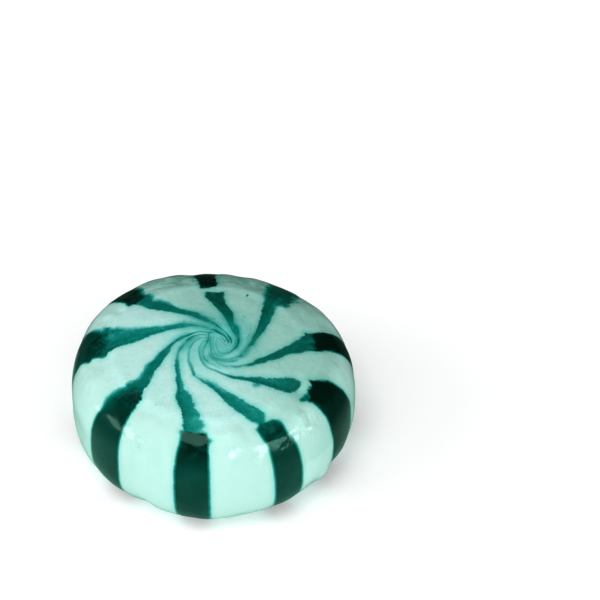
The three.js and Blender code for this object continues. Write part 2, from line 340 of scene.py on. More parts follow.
# Threads that run on into the eye, from the "eye" enlargement. Each place has its two marks, the
# thread's width there, in marks, and the strength of its dye
THREADS = (
    ((520, 240, 50, 0.3), (600, 290, 40, 0.25), (680, 350, 35, 0.2), (760, 400, 30, 0.18),
     (830, 455, 28, 0.2), (880, 520, 32, 0.3), (920, 580, 38, 0.36), (940, 640, 28, 0.28),
     (943, 700, 18, 0.15), (905, 740, 14, 0.08), (850, 735, 12, 0.07), (790, 700, 12, 0.07),
     (735, 650, 12, 0.06), (690, 590, 12, 0.05)),
    ((500, 385, 32, 0.3), (560, 402, 32, 0.32), (650, 450, 34, 0.36), (740, 490, 28, 0.3),
     (800, 530, 22, 0.28), (850, 600, 28, 0.32), (880, 650, 26, 0.28), (876, 692, 16, 0.15)),
    ((690, 530, 12, 0.06), (740, 575, 16, 0.1), (785, 620, 20, 0.2), (812, 655, 16, 0.16)),
    ((560, 330, 12, 0.07), (640, 390, 14, 0.09), (720, 440, 14, 0.1), (790, 480, 14, 0.1),
     (850, 550, 14, 0.1)),
    ((1090, 540, 60, 0.3), (1105, 620, 50, 0.3), (1095, 700, 42, 0.28), (1050, 790, 38, 0.22),
     (980, 850, 36, 0.18), (920, 900, 38, 0.15), (830, 930, 42, 0.1), (750, 930, 34, 0.07),
     (680, 920, 30, 0.04)),
    ((1040, 600, 14, 0.08), (1030, 700, 14, 0.08), (990, 790, 14, 0.06)),
    ((1200, 950, 42, 0.16), (1150, 990, 42, 0.14), (1060, 1012, 34, 0.1), (980, 1040, 32, 0.1),
     (900, 1060, 30, 0.1), (800, 1065, 30, 0.1), (700, 1070, 40, 0.1), (620, 1060, 50, 0.12),
     (560, 1015, 28, 0.1), (520, 965, 20, 0.08), (490, 900, 20, 0.1), (490, 850, 20, 0.14),
     (480, 770, 15, 0.12), (460, 700, 16, 0.12), (465, 620, 15, 0.1), (468, 540, 15, 0.08)),
    ((1070, 1078, 20, 0.08), (980, 1108, 28, 0.12), (880, 1108, 26, 0.11), (780, 1098, 24, 0.1),
     (700, 1090, 24, 0.1), (620, 1090, 25, 0.12), (550, 1070, 22, 0.12), (500, 1020, 18, 0.12),
     (460, 960, 16, 0.1), (440, 900, 12, 0.06)),
    ((1420, 1180, 55, 0.3), (1350, 1190, 32, 0.25), (1250, 1203, 30, 0.2), (1130, 1230, 46, 0.18),
     (1020, 1235, 38, 0.15), (940, 1222, 24, 0.13), (860, 1225, 22, 0.1), (790, 1220, 20, 0.1),
     (720, 1195, 16, 0.08), (650, 1160, 14, 0.06), (600, 1130, 12, 0.04)),
    ((1030, 1490, 40, 0.45), (910, 1455, 36, 0.4), (710, 1385, 30, 0.34), (650, 1360, 28, 0.3),
     (570, 1325, 25, 0.26), (470, 1290, 22, 0.22), (400, 1250, 22, 0.22), (340, 1200, 24, 0.22),
     (290, 1130, 28, 0.2), (250, 1050, 28, 0.2), (225, 960, 24, 0.18), (210, 870, 22, 0.15),
     (216, 800, 20, 0.12), (250, 740, 16, 0.08), (300, 690, 16, 0.08), (350, 650, 14, 0.1),
     (400, 620, 14, 0.1)),
    ((560, 450, 10, 0.05), (500, 446, 16, 0.14), (445, 465, 20, 0.2), (428, 520, 18, 0.16),
     (422, 580, 18, 0.16), (408, 640, 26, 0.22), (385, 700, 20, 0.16), (340, 770, 22, 0.14),
     (312, 850, 20, 0.12), (300, 930, 18, 0.12), (312, 1000, 24, 0.18), (340, 1060, 18, 0.16),
     (380, 1092, 20, 0.2), (420, 1130, 12, 0.1), (450, 1180, 10, 0.04)),
    ((-70, 535, 36, 0.34), (0, 500, 36, 0.3), (60, 475, 28, 0.26), (150, 450, 20, 0.24),
     (260, 440, 18, 0.22), (380, 450, 18, 0.2), (440, 462, 18, 0.2)),
    ((-50, 630, 36, 0.24), (0, 592, 30, 0.2), (60, 550, 20, 0.18), (140, 520, 18, 0.16),
     (220, 502, 16, 0.14), (300, 500, 16, 0.13), (370, 510, 14, 0.1)),
    ((95, 1420, 40, 0.35), (65, 1335, 45, 0.3), (25, 1225, 48, 0.25), (-10, 1140, 36, 0.2),
     (-30, 1090, 30, 0.16), (-25, 955, 24, 0.12), (0, 830, 20, 0.1), (25, 775, 24, 0.16),
     (60, 720, 22, 0.14), (110, 660, 20, 0.12), (180, 612, 18, 0.12), (260, 582, 18, 0.1),
     (340, 578, 14, 0.08), (400, 560, 12, 0.06)),
    ((650, 560, 12, 0.05), (610, 640, 14, 0.06), (598, 720, 14, 0.06), (615, 800, 14, 0.06),
     (655, 880, 16, 0.06), (720, 925, 14, 0.05)),
    ((560, 520, 10, 0.05), (540, 620, 12, 0.05), (530, 720, 12, 0.05), (545, 820, 12, 0.05),
     (580, 900, 12, 0.05), (640, 970, 14, 0.06), (740, 1000, 14, 0.05)),
    ((300, 640, 12, 0.05), (262, 720, 14, 0.06), (255, 820, 14, 0.06), (262, 920, 14, 0.06),
     (285, 1010, 14, 0.06), (330, 1110, 14, 0.06), (400, 1190, 14, 0.05)),
    ((470, 1160, 14, 0.05), (560, 1200, 18, 0.07), (620, 1250, 16, 0.06), (700, 1270, 14, 0.04)),
    ((1389, 230, 14, 0.03), (1384, 340, 14, 0.08), (1373, 461, 14, 0.05), (1325, 545, 16, 0.09),
     (1277, 615, 12, 0.03)),
    ((1225, 78, 45, 0.05), (1262, 105, 45, 0.06)),
    ((500, 150, 22, 0.05), (545, 138, 30, 0.1), (580, 160, 22, 0.04)),
    ((1301, -368, 32, 0.85), (1305, -362, 32, 0.85)),
)
print(len(SKINS), "skins and", len(THREADS), "threads read off", len(VIEWS), "enlargements")

# %% From the readings to stations on the sweet: walk and azimuth
def pixels_of(view, marks):
    """Pixels of the photograph for marks on one of its enlargements."""
    left, top, scale = VIEWS[view]
    return [(left + x / scale, top + y / scale) for x, y in marks]


def edge_stations(runs):
    """An edge's stations, from its runs of readings in one or more enlargements."""
    stations = []
    for view, *marks in runs:
        stations += marks if view == "hidden" else list(zip(*located(pixels_of(view, marks))))
    return stations


def thread_stations(readings):
    """A thread's stations with real widths: the tilted face looks shorter from front to back than it is."""
    x, y, width, strength = np.array(readings, float).T
    along, azimuth = located(pixels_of("eye", zip(x, y)))
    run_x, run_y = np.gradient(x), np.gradient(y)
    squeeze = math.sin(tilt)
    widening = np.hypot(run_x, run_y) / squeeze / np.hypot(run_x, run_y / squeeze)
    marks_per_mm = VIEWS["eye"][2] * PIXELS / CAMERA_AWAY
    return list(zip(along, azimuth, width / marks_per_mm * widening, strength))


skin_edges, torn_edges = (
    {number: [edge_stations(runs) for runs in edges] for number, edges in shapes.items()}
    for shapes in (SKINS, TORN_BANDS))
threads_read = [thread_stations(readings) for readings in THREADS]
edges_read = [edge for edges in (*skin_edges.values(), *torn_edges.values()) for edge in edges]
print(sum(map(len, edges_read)), "edge stations,", sum(map(len, threads_read)), "thread stations")

# %% Soft smears beside the threads: their dye, then places by distance, azimuth and width
SMEARS = (
    (0.06, ((2.7, 66, 0.7), (2.1, 60, 0.8), (1.5, 40, 0.6), (1.25, 10, 0.5), (1.4, -30, 0.5),
            (1.7, -65, 0.5), (1.95, -98, 0.5))),
    (0.05, ((2.8, -25, 0.5), (2.95, -50, 0.6), (2.6, -78, 0.5), (2.2, -110, 0.5))),
    (0.06, ((4.4, -44, 0.3), (4.05, -57, 0.6), (3.5, -72, 0.5), (3, -95, 0.4), (2.7, -115, 0.4))),
    (0.05, ((4.1, 244, 0.3), (3.4, 230, 0.35), (2.9, 208, 0.35), (2.6, 187, 0.35), (2.2, 173, 0.35))),
    (0.04, ((3.3, 199, 0.3), (2.8, 187, 0.3), (2.3, 177, 0.35), (1.9, 170, 0.3))),
    (0.06, ((3, 112, 0.4), (2.3, 113, 0.5), (1.6, 110, 0.45), (1, 113, 0.4), (0.5, 112, 0.35),
            (0.2, 0, 0.4), (0.65, -45, 0.35))),
    (0.04, ((2.9, 252, 0.3), (2.5, 238, 0.35), (2.1, 224, 0.3), (1.7, 210, 0.3), (1.4, 190, 0.35),
            (1.45, 150, 0.3))),
    (0.05, ((3.2, 303, 0.4), (2.8, 280, 0.4), (2.45, 260, 0.35), (2, 244, 0.3), (1.5, 225, 0.3),
            (1.25, 180, 0.3))),
    (0.3, ((6.75, 307, 0.25), (6.65, 305, 0.3))),
)
print(len(SMEARS), "smears")

# %% [markdown]
# ## Measuring the shapes
# The face is rolled out flat round the eye, like a peeled label, and the lines are drawn on it. Between
# two stations a line runs as a Catmull-Rom spline, which passes through every station it is given.
# Blender's own curves could draw it too, but here NumPy needs the points, because it measures the whole
# net at once.

# %% Lines on the unrolled face
LINE_STEP, EDGE_STEP = 0.05, 0.1  # mm between two points of a thread and of an edge


def plan(distance, azimuth):
    """The face unrolled flat: a point at this distance from the eye."""
    turn = np.radians(azimuth)
    return np.stack([distance * np.cos(turn), distance * np.sin(turn)], axis=-1)


def brush(stations, step):
    """A smooth line through stations of distance and azimuth; what else they hold goes along with it."""
    knots = np.array(stations, float)
    spine = np.column_stack([plan(knots[:, 0], knots[:, 1]), knots[:, 2:]])
    padded = np.vstack([2 * spine[0] - spine[1], spine, 2 * spine[-1] - spine[-2]])
    pieces = []
    for a, b, c, d in zip(padded, padded[1:], padded[2:], padded[3:]):
        count = max(2, int(np.hypot(*(c - b)[:2]) / step))
        t = np.linspace(0, 1, count, endpoint=False)[:, None]
        pieces.append(0.5 * (2 * b + (c - a) * t + (2 * a - 5 * b + 4 * c - d) * t**2
                             + (3 * b - a - 3 * c + d) * t**3))
    return np.vstack(pieces + [spine[-1:]])


# %% Distances from a line
FAR_OUTSIDE = -9.0  # stands for the depth of any place that is too far off to be measured
THREAD_REACH, EDGE_REACH = 1.5, 2.9  # mm measured on each side of a thread and of a shape
THREAD_FADE = (-0.07, 0.03)  # the dye of a thread sets in between these depths
CHUNK = 4000  # points measured at a time, to save memory


def near_line(line, points, reach):
    """Numbers of the points that lie in the line's box, or closer to it than the reach."""
    return np.flatnonzero(((points > line.min(0) - reach) & (points < line.max(0) + reach)).all(1))


def segment_gaps(line, points):
    """Chunk by chunk: the points, how far along each segment is nearest to them, and the gap to it."""
    run = np.diff(line, axis=0)
    length2 = (run**2).sum(1)
    for chunk in np.array_split(np.arange(len(points)), max(1, len(points) // CHUNK)):
        offset = points[chunk, None, :] - line[None, :-1]
        t = np.clip((offset * run).sum(2) / length2, 0, 1)
        yield chunk, t, np.hypot(*np.moveaxis(offset - t[:, :, None] * run, 2, 0))


def gap_to(line, points):
    """How far each point lies from a line, in mm."""
    return np.concatenate([gap.min(1) for _, _, gap in segment_gaps(line, points)])


def inside(line, points):
    """How deep each point lies inside a brushed line, negative outside it, and the dye it gets there."""
    deepest, ink = np.full(len(points), FAR_OUTSIDE), np.zeros(len(points))
    place, width, strength = line[:, :2], line[:, 2], line[:, 3]
    near = near_line(place, points, THREAD_REACH)
    for chunk, t, gap in segment_gaps(place, points[near]):
        depth = (width[:-1] + t * np.diff(width)) / 2 - gap
        deepest[near[chunk]] = depth.max(1)
        dye = strength[:-1] + t * np.diff(strength)
        ink[near[chunk]] = (dye * smooth(depth, *THREAD_FADE)).max(1)
    return deepest, ink


# %% Distances from a shape
def within(outline, points):
    """True for each point inside a closed outline.

    A line from such a point to the right crosses the outline an odd number of times.
    """
    (x1, y1), (x2, y2) = outline.T, np.roll(outline, -1, axis=0).T
    odd = np.zeros(len(points), bool)
    for ax, ay, bx, by in zip(x1, y1, x2, y2):
        if ay == by:
            continue
        spans = (points[:, 1] < ay) != (points[:, 1] < by)
        odd ^= spans & (points[:, 0] < ax + (points[:, 1] - ay) * (bx - ax) / (by - ay))
    return odd


def shape_depth(edges, points):
    """How deep each point lies between two edges, and which is near: -1 the first, 1 the second."""
    lines = [brush(stations, EDGE_STEP) for stations in edges]
    outline = np.vstack([lines[0], lines[1][::-1]])
    ends = outline[[0, -1]], np.array([line[-1] for line in lines])
    near = near_line(outline, points, EDGE_REACH)
    gaps = [gap_to(line, points[near]) for line in (*lines, *ends)]
    depth, side = np.full(len(points), FAR_OUTSIDE), np.zeros(len(points))
    depth[near] = np.min(gaps, axis=0) * np.where(within(outline, points[near]), 1, -1)
    side[near] = (gaps[0] - gaps[1]) / (gaps[0] + gaps[1] + 1e-6)  # the last number keeps it from 0 / 0
    return depth, side


# %% [markdown]
# ## The bands down the side
# Down the side the stripes are still as broad and dark as they were on the rope. They run nearly straight
# to the foot, so there each is given by the azimuth of its two edges at a few walks from the eye.

# %% Bands: walk from the eye, azimuth of the first and of the second edge
BANDS = (
    ((13, 87, 99), (16, 85.5, 98.5), (20, 85.5, 98.5)),
    ((12, 48.5, 61), (16, 49, 61.5), (20, 49, 61.5)),
    ((12, 2.5, 14.5), (20, 3, 15)),
    ((13, 326.3, 343.5), (14.5, 327.2, 345.5), (16, 328.6, 346), (20, 328.3, 346)),
    ((13, 295, 307), (14, 295.4, 308), (16, 296.3, 309.3), (20, 297, 310)),
    ((13, 256.6, 269.9), (14.2, 256.1, 270), (20, 256, 270)),
    ((13, 214, 230), (15, 213, 230), (16.6, 212.3, 230), (20, 212.5, 229.5)),
    ((13, 163, 184.5), (15, 163.6, 185.5), (20, 164, 185.5)),
    ((13, 128, 142.5), (20, 128.5, 144)),
)
print(len(BANDS), "bands")

# %% Measure the skins and the torn bands
FACE_REACH = 13.4  # mm from the eye that the shapes are measured to
RUN_ON = (13, 15.5)  # an edge that isn't torn off runs on in its band's direction, through these walks

face_points = plan(TRAVEL, AZIMUTH).reshape(-1, 2)
measured = np.flatnonzero((UP_SIDE & (TRAVEL < FACE_REACH)).ravel())
shape_mm, skin_side = np.full(len(face_points), FAR_OUTSIDE), np.zeros(len(face_points))
nearest = np.ones(len(face_points), int)  # the number of the stripe
for shapes in (skin_edges, torn_edges):
    for number, edges in shapes.items():
        if shapes is torn_edges or number not in torn_edges:
            band_edges = BANDS[number - 1][0][1:]
            edges = [edge + [(walk, azimuth) for walk in RUN_ON] for edge, azimuth in zip(edges, band_edges)]
        depth, side = shape_depth(edges, face_points[measured])
        closer = depth > shape_mm[measured]
        nearest[measured[closer]] = number
        skin_side[measured[closer]] = side[closer]
        shape_mm[measured] = np.maximum(shape_mm[measured], depth)
shape_mm, skin_side, nearest = (values.reshape(ALONG.shape) for values in (shape_mm, skin_side, nearest))
print("stripes cover %.1f%% of the face" % (100 * (shape_mm[UP_SIDE & (TRAVEL < 9)] > 0).mean()))

# %% Measure the threads and the smears
SMEAR_CORE, SMEAR_FADE = 0.12, 0.22  # mm

thread_mm = np.full(len(face_points), FAR_OUTSIDE)
threads, smear = np.zeros((2, len(face_points)))
for stations in threads_read:
    depth, ink = inside(brush(stations, LINE_STEP), face_points[measured])
    thread_mm[measured] = np.maximum(thread_mm[measured], depth)
    threads[measured] = np.maximum(threads[measured], ink)
for strength, stations in SMEARS:
    line = brush([(*station, strength) for station in stations], LINE_STEP)
    depth, _ = inside(line, face_points[measured])
    smear[measured] += strength * hump(np.maximum(SMEAR_CORE - depth, 0), SMEAR_FADE)
thread_mm, smear = thread_mm.reshape(ALONG.shape), (smear + threads).reshape(ALONG.shape)
print("threads cover %.1f%% of the face" % (100 * (thread_mm[UP_SIDE & (TRAVEL < 9)] > 0).mean()))

# %% Measure the bands, with a swirl of their own on the hidden face
SWEEPS = (10, 15, 23, 22, 21, 21, 16, 12, 10)  # how far each stripe turns on its way in, in degrees
FACE_END, SIDE_START, SWEEP_POWER, TAPER_POWER = 9.0, 10.8, 1.3, 1.4
STILL = 1.6  # mm from the eye: nearer in, a stripe turns no further
HIDDEN_WIDTH = 0.62  # how broad a stripe is at the rim of the hidden face, as a share of its band
HAND_OVER, NUMBER_FROM = (12.5, 13.2), 12.9  # walks over which the bands take over from the shapes


def turned(sweep, travel):
    """How far a stripe has turned, in degrees, at a distance from the eye."""
    return sweep * ((FACE_END / np.clip(travel, STILL, FACE_END)) ** SWEEP_POWER - 1)


def band_depth(band, sweep):
    """How deep each point of the net lies inside a dark band, in mm."""
    knots = np.array(band, float)
    walk = np.clip(ALONG, knots[0, 0], knots[-1, 0])
    first, second = (np.interp(walk, knots[:, 0], knots[:, i]) for i in (1, 2))
    below = ~UP_SIDE
    taper = smooth(TRAVEL, FACE_END - 1, SIDE_START)
    narrow = HIDDEN_WIDTH * (np.clip(TRAVEL, 0, FACE_END) / FACE_END) ** TAPER_POWER
    middle = (first + second) / 2 - np.where(below, turned(sweep, TRAVEL), 0)
    half = (second - first) / 2 * np.where(below, taper + (1 - taper) * narrow * RADIUS / RING_RADIUS, 1)
    aside = (AZIMUTH - middle + 180) % 360 - 180
    slope = np.radians(sweep) * SWEEP_POWER * FACE_END**SWEEP_POWER
    slope = slope / np.clip(TRAVEL, STILL, FACE_END) ** (SWEEP_POWER + 1)
    square = np.hypot(1, np.where(below & (TRAVEL < FACE_END), slope * RING_RADIUS, 0))
    return (half - np.abs(aside)) * np.radians(1) * RING_RADIUS / square


band_mm = np.full(ALONG.shape, FAR_OUTSIDE)
for number, (band, sweep) in enumerate(zip(BANDS, SWEEPS), 1):
    depth = band_depth(band, sweep)
    nearest[(depth > band_mm) & (ALONG > NUMBER_FROM)] = number
    band_mm = np.maximum(band_mm, depth)
onto_side = smooth(ALONG, *HAND_OVER)
edge_mm = shape_mm * (1 - onto_side) + band_mm * onto_side
print("dark bands cover %.0f%% of the side" % (100 * (band_mm[(TRAVEL > 11)] > 0).mean()))

# %% [markdown]
# ## How thick the dye is
# A skin of teal sugar is thinner than the band that it was dragged from. Where the skin ends and the dark
# band begins, some stripes change with a step and others over a millimetre. No two stripes are alike, so
# each of the nine has its own numbers here, and a few have a touch of their own. The stripes at the back
# and on the right get extra dye as painted shade. The dye runs from 0 for none to 1 for a whole band.

# %% Where the dark bands begin
BAND_START = (7.0, 8.5, 8.9, 9.4, 10.32, 10.45, 8.6, 9.3, 8.35)  # walk from the eye
START_BLUR = (0.1, 1.2, 0.6, 0.15, 0.2, 0.3, 1.1, 2.0, 0.5)  # mm
TONGUE, TONGUE_AT, TONGUE_FADE = 1.2, 329, 4  # a teal tongue on one corner of the fourth band: mm, degrees
HIDDEN_START, HIDDEN_BLUR = 8.5, 0.6  # the same on the hidden face


def of_each(values):
    """Each point's value, from one for each stripe."""
    return np.array(values)[nearest - 1]


def only(*numbers):
    """1 on these stripes and 0 on the others."""
    return np.isin(nearest, numbers) * 1.0


def inwards(distance, start, end):
    """1 nearer to the eye than start, 0 beyond end."""
    return 1 - smooth(distance, start, end)


starts = of_each(BAND_START) + TONGUE * only(4) * smooth(TONGUE_AT - AZIMUTH, 0, TONGUE_FADE)
start_mm = np.where(UP_SIDE, (ALONG - starts) / of_each(START_BLUR), (TRAVEL - HIDDEN_START) / HIDDEN_BLUR)
print("dark from %.1f to %.1f mm outwards" % (starts.min(), starts.max()))

# %% The dye of the teal skins
# The skins at the back and on the right get more dye, partly as painted shade
FILM_DYE_AND_SHADE = (0.8, 0.66, 0.68, 0.65, 0.54, 0.555, 0.62, 0.59, 0.64)
FIRST_EDGE_DYE = (0, -0.07, 0, 0.1, 0.08, 0.12, -0.06, -0.1, -0.04)  # how much more at the first edge
INNER_SHARE = 0.7  # what is left of the dye at the eye
PALE_FIFTH = 0.12  # the fifth skin's inner part is paler, but not at its first edge
PALE_SECOND = 0.4  # the second one's inner end is paler on one side

film_dye = of_each(FILM_DYE_AND_SHADE) - of_each(FIRST_EDGE_DYE) * skin_side
film_dye *= INNER_SHARE + (1 - INNER_SHARE) * smooth(TRAVEL, 1, 5.5)
film_dye -= PALE_FIFTH * only(5) * (inwards(TRAVEL, 5, 7) + skin_side * inwards(TRAVEL, 6, 7.5))
past_front = smooth(360 - AZIMUTH, 12, 40) * (AZIMUTH > 180)
film_dye *= 1 - PALE_SECOND * only(2) * (TRAVEL < 4) * past_front
print("dye of the skins from %.2f to %.2f" % (film_dye.min(), film_dye.max()))

# %% The dye of the dark bands
BAND_DYE, TOP_DYE_AND_SHADE = 0.9, 0.08  # all along, more at the top, and more at the back as painted shade
# Each band's own change: the third and fourth, on the right, get painted shade, and the eighth a little less
# dye
EACH_DYE_AND_SHADE = (0, 0, 0.07, 0.07, 0, 0, 0, -0.03, 0)
TOP_TOUCHES = (  # stripe, change of the dye, and the walks up to which it holds and beyond which it is gone
    (2, -0.24, 10.8, 12.2), (5, -0.15, 10.6, 11.7), (7, -0.06, 10, 12))
DARK_SPOT, SPOT_WALK, SPOT_SPREAD = 0.05, 12.4, 1.3  # on the sixth band's shoulder
THIN_EDGE = 0.16  # the seventh is thinner towards its first edge
THIN_EDGES = 0.1  # and the eighth towards both

back = (1 + np.sin(np.radians(AZIMUTH))) / 2
first_side = np.clip(-skin_side, 0, 1) * inwards(ALONG, 10.5, 12.5)
# More dye near the top of each band, and painted shade on the bands at the back
band_dye = BAND_DYE + TOP_DYE_AND_SHADE * np.maximum(inwards(ALONG, 10.2, 12.6), smooth(back, 0.4, 0.7))
band_dye += of_each(EACH_DYE_AND_SHADE) + DARK_SPOT * only(6) * hump(ALONG - SPOT_WALK, SPOT_SPREAD)
for number, change, start, end in TOP_TOUCHES:
    band_dye += change * only(number) * inwards(ALONG, start, end)
band_dye -= THIN_EDGE * only(7) * first_side
band_dye -= THIN_EDGES * only(8) * inwards(ALONG, 9.5, 11.5) * np.abs(skin_side)
print("dye of the bands from %.2f to %.2f" % (band_dye.min(), band_dye.max()))

# %% [markdown]
# ## Relief
# Pulled sugar is never quite smooth. The panels between the stripes stand proud like little pillows, the
# pinch leaves a lip round the face, the far rim is wrinkled, the near one lumpy, and one stripe is
# chipped. All of it is real relief in the mesh, because it shows in the highlights and at the outline.
# Blender's Displace modifier could do the noise, but not the pillows, which follow the stripes. The finest
# grain comes later, from the material.

# %% Pillows, lip, lumps and single marks, in mm
PANEL_PILLOW, PANEL_SPREAD = 0.1, 2.6  # how high, and how far from its edge it is full
STRIPE_PILLOW, STRIPE_SPREAD = 0.05, 1.4
FACE_SHARE = 0.35  # what is left of the pillows on the face
LIP_FRONT, LIP_BACK, LIP_SPREAD, LIP_HEIGHT = 9.1, 7.5, 0.55, 0.09
RIM_LUMPS, RIM_SPREAD = ((13, 0.035, 5), (19, 0.03, 11), (31, 0.02, 2)), 1.3
MARKS = (  # azimuth, walk from the upper eye, spread, push
    (279, 12.9, 0.45, 0.05), (235, 12.9, 0.5, 0.06), (242, 13.0, 0.4, 0.05), (308, 13.1, 0.5, 0.05),
    (317, 12.8, 0.6, 0.06), (290, 13.6, 0.5, 0.04),
    (323, 9.3, 0.6, -0.32), (321, 11.0, 0.5, 0.16), (313, 11.5, 0.5, 0.13), (317, 11.9, 0.35, -0.1),
    (326, 8.3, 0.5, 0.08), (309, 10.2, 0.7, 0.08), (150, 9.2, 0.4, -0.14), (154, 10.1, 0.45, 0.1),
    (112, 9.7, 0.6, 0.22), (282, 10.6, 0.9, 0.12), (202, 17.0, 2.0, -0.18),
    (240, 20.2, 1.1, -0.3), (283, 20.2, 2.2, -0.22), (269, 20.4, 1.2, 0.14), (317, 19.8, 1.0, -0.14),
    (325, 19.7, 1.0, 0.2), (332, 19.5, 0.8, -0.32),
)


def pillow(depth, height, spread):
    """A cushion that rises from its edge and is full at the spread."""
    return height * (1 - (1 - np.clip(depth / spread, 0, 1)) ** 2)


on_side = smooth(TRAVEL, FACE_END, SIDE_START)
pillows = np.where(edge_mm < 0, pillow(-edge_mm, PANEL_PILLOW, PANEL_SPREAD),
                   pillow(edge_mm, STRIPE_PILLOW, STRIPE_SPREAD))
relief = pillows * (on_side + (1 - on_side) * FACE_SHARE * smooth(TRAVEL, 2, 6))
relief += LIP_HEIGHT * hump(TRAVEL - LIP_FRONT - (LIP_BACK - LIP_FRONT) * back, LIP_SPREAD)
relief += waves(RIM_LUMPS, AZIMUTH) * hump(TRAVEL - SIDE_START, RIM_SPREAD)
relief -= EYE_DIP * hump(TRAVEL, EYE_DIP_SPREAD)
for azimuth, along, spread, push in MARKS:
    aside = np.radians((AZIMUTH - azimuth + 180) % 360 - 180) * RING_RADIUS
    relief += push * hump(np.hypot(aside, ALONG - along), spread)
print("forms from %.2f to %.2f mm" % (relief.min(), relief.max()))

# %% Rough places and the flat patch on the right front shoulder
FACET_WALK, FACET_HALF, FACET_CUT, FACET_AT, FACET_FADE = 12.75, 0.75, 0.06, 299, (10, 22)
CRAG_AT, CRAG_WALK, CRAG_SPREAD = 314, 12.2, 1.5
SHOULDER_DEGREE = 0.21  # mm in one degree round the shoulder
STRIPE_ROUGH = 0.45  # the glassy stripes are smoother than the panels
FACE_FINE, SIDE_FINE = 0.03, 0.008  # mm
THREAD_GROOVE, GROOVE_FADE = 0.03, (-0.08, 0.05)


def noise_field(points, size, seed):
    """Smooth noise from -1 to 1 with bumps of this size, at points in mm."""
    flat = points.reshape(-1, 3) / size + seed * 17.3
    return np.array([noise.noise(Vector(p)) for p in flat]).reshape(points.shape[:-1])


def shoulder_hump(azimuth, walk, spread):
    """A round patch on the shoulder."""
    return hump(np.hypot((AZIMUTH - azimuth) * SHOULDER_DEGREE, ALONG - walk), spread)


front = (1 - back) * UP_SIDE
rim_front = hump(TRAVEL - 10.9, 1.5) * smooth(front, 0.3, 0.75)
rim_front *= STRIPE_ROUGH + (1 - STRIPE_ROUGH) * smooth(-edge_mm, -0.3, 0.3)
rim_back = hump(TRAVEL - 8.9, 1.2) * smooth(back, 0.55, 0.85) * UP_SIDE
crags = shoulder_hump(CRAG_AT, CRAG_WALK, CRAG_SPREAD) * smooth(-edge_mm, 0, 0.5)
# The noise is drawn out round the rim, as wrinkles are
along_rim = np.stack([AZIMUTH / 14, TRAVEL / 0.45, 0 * TRAVEL], axis=-1)
for height, where, size, seed in (
        (0.07 * rim_front, plain, 0.9, 1), (0.03 * rim_front, plain, 0.4, 2), (0.09 * crags, plain, 0.75, 6),
        (0.09 * rim_back, along_rim, 1.0, 3), (FACE_FINE + (SIDE_FINE - FACE_FINE) * on_side, plain, 1.3, 4),
        (0.012 * (1 - on_side), plain, 0.4, 5)):
    relief += height * noise_field(where, size, seed)
facet = np.clip(1 - ((ALONG - FACET_WALK) / FACET_HALF) ** 2, 0, 1)
relief -= FACET_CUT * facet * (1 - smooth(np.abs(AZIMUTH - FACET_AT), *FACET_FADE)) * UP_SIDE
relief -= THREAD_GROOVE * (1 - on_side) * smooth(thread_mm, *GROOVE_FADE)
relief *= np.where(UP_SIDE, 1, smooth(TRAVEL, 7, 9))  # none where the sweet rests on its underside
print("relief from %.2f to %.2f mm" % (relief.min(), relief.max()))

# %% [markdown]
# ## The mesh
# The rings become vertices, the gaps between them faces, and each eye closes with a fan. The finished
# points are set into the CAD model's box. A UV map lays the skin out in four patches, so that the finish
# can be baked: one disc for each face and the side in two strips.

# %% Build the mesh
points = surface(ALONG, AZIMUTH, relief)
eyes = np.array([[EYE_X, EYE_Y, THICKNESS - EYE_DIP], [EYE_X, EYE_Y, BASE_PRESS]])
vertices = np.vstack([points.reshape(-1, 3), eyes]) * MM
low, high = vertices.min(0), vertices.max(0)
target_low, target_high = (np.array(corner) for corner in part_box("mint"))
fit = (target_high - target_low) / (high - low)
vertices = target_low + (vertices - low) * fit
print("fitted to the CAD box by factors", fit.round(4))

rings = len(ring_walk)
top_eye, low_eye = rings * SPOKES, rings * SPOKES + 1
faces = []
for c in range(SPOKES):
    n = (c + 1) % SPOKES
    faces.append((top_eye, c, n))
    for r in range(rings - 1):
        faces.append((r * SPOKES + c, (r + 1) * SPOKES + c, (r + 1) * SPOKES + n, r * SPOKES + n))
    faces.append((low_eye, (rings - 1) * SPOKES + n, (rings - 1) * SPOKES + c))

mesh = bpy.data.meshes.new("mint_candy")
mesh.from_pydata(vertices.tolist(), [], faces)
mesh.polygons.foreach_set("use_smooth", [True] * len(mesh.polygons))
mesh.update()
candy = bpy.data.objects.new("mint_candy", mesh)
bpy.context.scene.collection.objects.link(candy)
print(len(vertices), "vertices,", sum(len(f) - 2 for f in faces), "triangles")

# %% Lay out the UV map
DISC_WALK = 10.9  # the face's disc reaches this far from the eye
DISC_SIZE = 0.24
UPPER_DISC, LOWER_DISC = (0.25, 0.75), (0.75, 0.75)  # their middles
MARGIN, FAR_STRIP, STRIP_HEIGHT = 0.01, 0.255, 0.235
STRIP_END = WHOLE - DISC_WALK


def disc_uv(walk, azimuth, middle):
    """A place in the round patch of one face."""
    turn = math.radians(azimuth)
    scale = DISC_SIZE * walk / DISC_WALK
    return middle[0] + scale * math.cos(turn), middle[1] + scale * math.sin(turn)


def strip_uv(walk, azimuth, far_half):
    """A place in one of the two strips of the side."""
    across = (azimuth - (180 if far_half else 0)) / 180
    down = (walk - DISC_WALK) / (STRIP_END - DISC_WALK)
    foot = FAR_STRIP if far_half else MARGIN
    return MARGIN + (1 - 2 * MARGIN) * across, foot + STRIP_HEIGHT * (1 - down)


